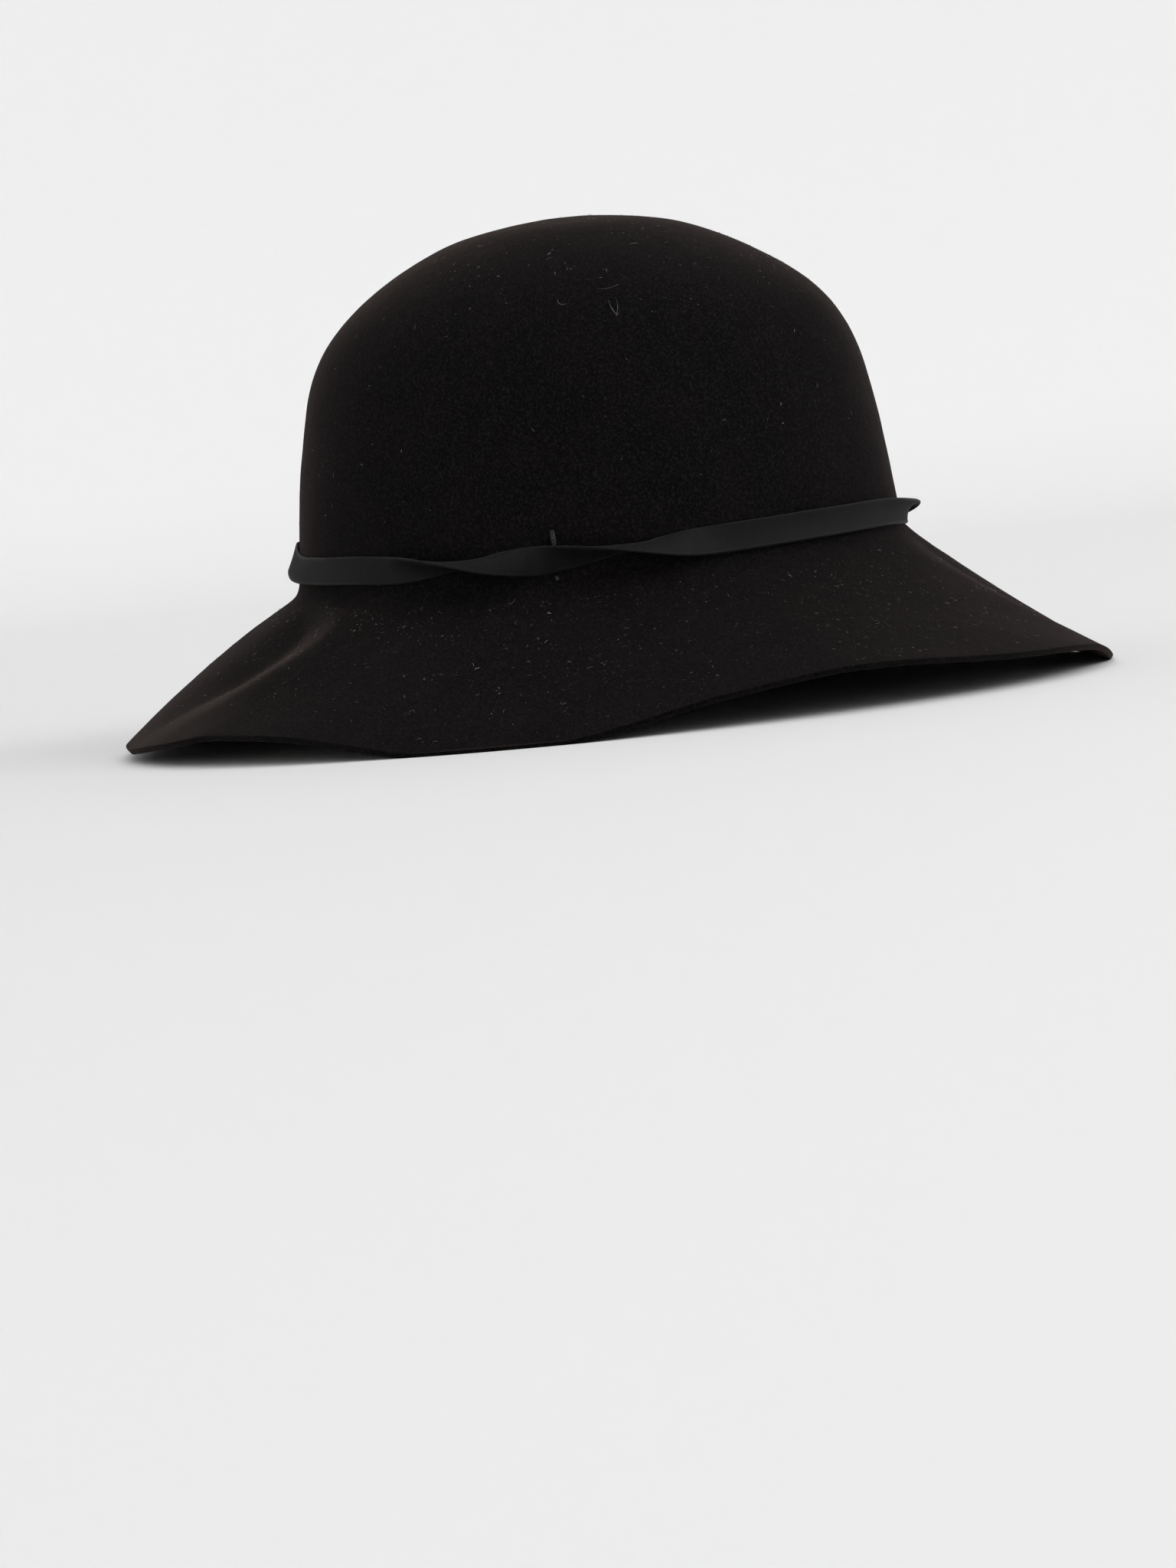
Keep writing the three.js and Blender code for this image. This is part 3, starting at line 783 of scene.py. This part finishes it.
def scattered_lint():
    """One row for each bit: azimuth, up, length, heading and curl in radians, and radius."""
    random = np.random.default_rng(LINT_SEED)
    bits = []
    for belt in LINT:
        length = belt.shortest + (belt.longest - belt.shortest) * random.random(belt.number) ** 3
        radius = LINT_RADIUS * (LINT_THINNEST + LINT_THICKENING * random.random(belt.number) ** 2)
        patches = belt.number // LINT_PER_PATCH
        patch = random.integers(0, patches, belt.number)
        middles = random.random((patches, 2))[patch]
        strays = random.normal(size=(belt.number, 2)) * PATCH_SPREAD
        heading = 2 * math.pi * random.random(belt.number)
        curl = belt.curl * random.normal(size=belt.number)
        azimuth = FULL_TURN * middles[:, 0] + strays[:, 0]
        breadth = belt.high - belt.low
        up = belt.low + (breadth * middles[:, 1] + strays[:, 1]) % breadth
        bits.append(np.stack([azimuth, up, length, heading, curl, radius], 1))
    return bits


def lint_paths(azimuth, up, length, heading, curl):
    """Paths that curl over the felt, from arrays of one value a bit. heading and curl are in radians."""
    share = np.linspace(0, 1, LINT_POINTS)
    way = heading[:, None] + curl[:, None] * share
    step = (length / (LINT_POINTS - 1))[:, None]
    across = np.cumsum(np.cos(way) * step, 1)
    upward = np.cumsum(np.sin(way) * step, 1)
    around = hat_point(azimuth + NUDGE_DEGREES, up) - hat_point(azimuth - NUDGE_DEGREES, up)
    higher = hat_point(azimuth, up + NUDGE) - hat_point(azimuth, up - NUDGE)
    # Azimuths grow towards the left of whoever looks at the felt from outside
    azimuths = azimuth[:, None] - across * (2 * NUDGE_DEGREES / np.linalg.norm(around, axis=1))[:, None]
    ups = up[:, None] + upward * (2 * NUDGE / np.linalg.norm(higher, axis=1))[:, None]
    arch = np.minimum(LINT_ARCH * length[:, None] * np.sin(math.pi * share), LINT_HIGHEST)
    return on_felt(azimuths, np.clip(ups, LINT_LOWEST_UP, 2 - NUDGE), LINT_RADIUS + arch)


def make_lint(material, shift):
    chosen = np.array([fibre._replace(heading=math.radians(fibre.heading)) for fibre in FIBRES])
    azimuth, up, length, heading, curl, radius = np.concatenate([*scattered_lint(), chosen]).T
    paths, normals = lint_paths(azimuth, up, length, heading, curl)
    radii = radius[:, None] * taper(np.linspace(0, 1, LINT_POINTS), LINT_TIP)
    points, faces = tubes(paths, radii, normals, LINT_SIDES)
    return mesh_piece("lint", points + shift, faces, material)


# The backdrop: a bowl of pale paper, level where the hat lies

BOWL_FLOOR = 1.6  # radius of the level floor
BOWL_CURVE = 1.4  # radius of the curve up to the wall
BOWL_WALL = 3.0  # height of the wall's top
BOWL_SIDES = 96
FLOOR_RINGS = 8
CURVE_RINGS = 24
PAPER_VALUE = "paper_tone"  # how light a point of the paper is
# The paper's tone by the distance from the middle along the floor and up the curve, in metres: painted
# light, darker on the floor that the lamps light most and lighter up the curve and wall that they light less
PAPER = table("distance tone", (0, 0.74), (0.5, 0.75), (1.6, 0.82), (2.1, 0.92), (5.0, 0.92))


def bowl_rings():
    """The radius and height of each ring of the bowl, from near its middle to the top of its wall."""
    floor = [(BOWL_FLOOR * r / FLOOR_RINGS, 0.0) for r in range(1, FLOOR_RINGS + 1)]
    curve = [
        (BOWL_FLOOR + BOWL_CURVE * math.sin(a), BOWL_CURVE * (1 - math.cos(a)))
        for a in np.linspace(0, math.pi / 2, CURVE_RINGS + 1)[1:]
    ]
    return [*floor, *curve, (BOWL_FLOOR + BOWL_CURVE, BOWL_WALL)]


def make_backdrop():
    material, tree, shader = new_material("paper", Roughness=0.9)
    # The paper's colour is its pale tone with painted light: darker on the floor, lighter up the curve and
    # wall, so that the backdrop shows about evenly bright
    tree.links.new(point_value(tree, PAPER_VALUE), shader.inputs["Base Color"])
    rings = bowl_rings()
    points = [(0.0, 0.0, 0.0)]
    for radius, height in rings:
        points += [
            (radius * math.cos(a), radius * math.sin(a), height)
            for a in np.linspace(0, 2 * math.pi, BOWL_SIDES, endpoint=False)
        ]
    faces = [(0, 1 + c, 1 + (c + 1) % BOWL_SIDES) for c in range(BOWL_SIDES)]
    for r in range(len(rings) - 1):
        start = 1 + r * BOWL_SIDES
        for c in range(BOWL_SIDES):
            n = (c + 1) % BOWL_SIDES
            faces.append((start + c, start + BOWL_SIDES + c, start + BOWL_SIDES + n, start + n))
    backdrop = mesh_piece("backdrop", np.array(points), faces, material)
    steps = np.hypot(*np.diff(np.array([(0.0, 0.0), *rings]), axis=0).T)
    tones = np.interp(np.cumsum(steps), [row.distance for row in PAPER], [row.tone for row in PAPER])
    add_values(backdrop, PAPER_VALUE, np.concatenate([[PAPER[0].tone], np.repeat(tones, BOWL_SIDES)]))


# The lights: an even white room and two large soft lamps

ROOM_LIGHT = 0.93
LAMPS = table(
    "name position size watts",
    ("overhead", (0.0, 0.2, 2.4), 2.2, 3.5),
    ("key", (-0.4, -1.9, 1.35), 1.2, 17),
)
LAMP_TARGET = (0, 0, 0.08)


def make_lights():
    world = bpy.data.worlds.new("studio")
    world.use_nodes = True
    background = world.node_tree.nodes["Background"]
    background.inputs["Color"].default_value = (1, 1, 1, 1)
    background.inputs["Strength"].default_value = ROOM_LIGHT
    bpy.context.scene.world = world
    for lamp in LAMPS:
        light = bpy.data.lights.new(lamp.name, "AREA")
        light.shape = "SQUARE"
        light.size = lamp.size
        light.energy = lamp.watts
        piece = bpy.data.objects.new(lamp.name, light)
        piece.location = lamp.position
        piece.rotation_mode = "QUATERNION"
        piece.rotation_quaternion = (Vector(LAMP_TARGET) - Vector(lamp.position)).to_track_quat("-Z", "Y")
        bpy.context.scene.collection.objects.link(piece)


# The camera

PICTURE = (1536, 2048)  # the picture that the camera's pixels are for
SENSOR = 36.0  # on the picture's long side, in millimetres
FOCAL_PIXELS = 4280.0
CAMERA_AZIMUTH = 78.0  # in degrees
CAMERA_DISTANCE = 1.095  # from the crown's axis
CAMERA_HEIGHT = 0.077
CAMERA_ROLL = 5.9  # in degrees
CAMERA_NEAREST = 0.01
CAMERA_FARTHEST = 50.0
AXIS_PIXEL = (771.5, 620.5)  # where the level direction from the camera to the crown's axis shows


def make_camera(shift):
    azimuth = math.radians(CAMERA_AZIMUTH)
    toward = Vector((math.sin(azimuth), math.cos(azimuth), 0))
    upward = Vector((0, 0, 1))
    rightward = toward.cross(upward)

    # The same three directions as the picture shows them: x to the right, y down and z away
    x = AXIS_PIXEL[0] - PICTURE[0] / 2
    y = AXIS_PIXEL[1] - PICTURE[1] / 2
    look = Vector((x, y, FOCAL_PIXELS)).normalized()
    roll = math.radians(CAMERA_ROLL)
    image_up = Vector((-math.sin(roll), -math.cos(roll), 0))
    image_up = (image_up - image_up.dot(look) * look).normalized()
    image_right = (-image_up).cross(look)

    pairs = ((image_right, rightward), (image_up, upward), (look, toward))
    right, down, away = (
        sum((image[axis] * world for image, world in pairs), Vector((0, 0, 0))) for axis in range(3)
    )
    turned = Matrix((right, -down, -away)).transposed()
    position = -toward * CAMERA_DISTANCE + Vector((shift[0], shift[1], CAMERA_HEIGHT))

    data = bpy.data.cameras.new("camera")
    data.sensor_width = SENSOR
    data.lens = FOCAL_PIXELS / PICTURE[1] * SENSOR
    data.clip_start = CAMERA_NEAREST
    data.clip_end = CAMERA_FARTHEST
    camera = bpy.data.objects.new("camera", data)
    camera.matrix_world = Matrix.Translation(position) @ turned.to_4x4()
    bpy.context.scene.collection.objects.link(camera)
    bpy.context.scene.camera = camera


# The pieces, the solids that they stand for and the finishes that they take

felt, shift = make_felt(felt_material())
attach(felt, "root")
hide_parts("felt_body")

ribbon, ribbon_length = make_ribbon(ribbon_material(), shift)
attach(ribbon, "root")
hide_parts("ribbon_band")

tack = make_tack(thread_material(), shift)
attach(tack, "root")

lint = make_lint(lint_material(), shift)
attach(lint, "root")

make_backdrop()
make_lights()
make_camera(shift)
bpy.context.scene.view_settings.view_transform = "Standard"
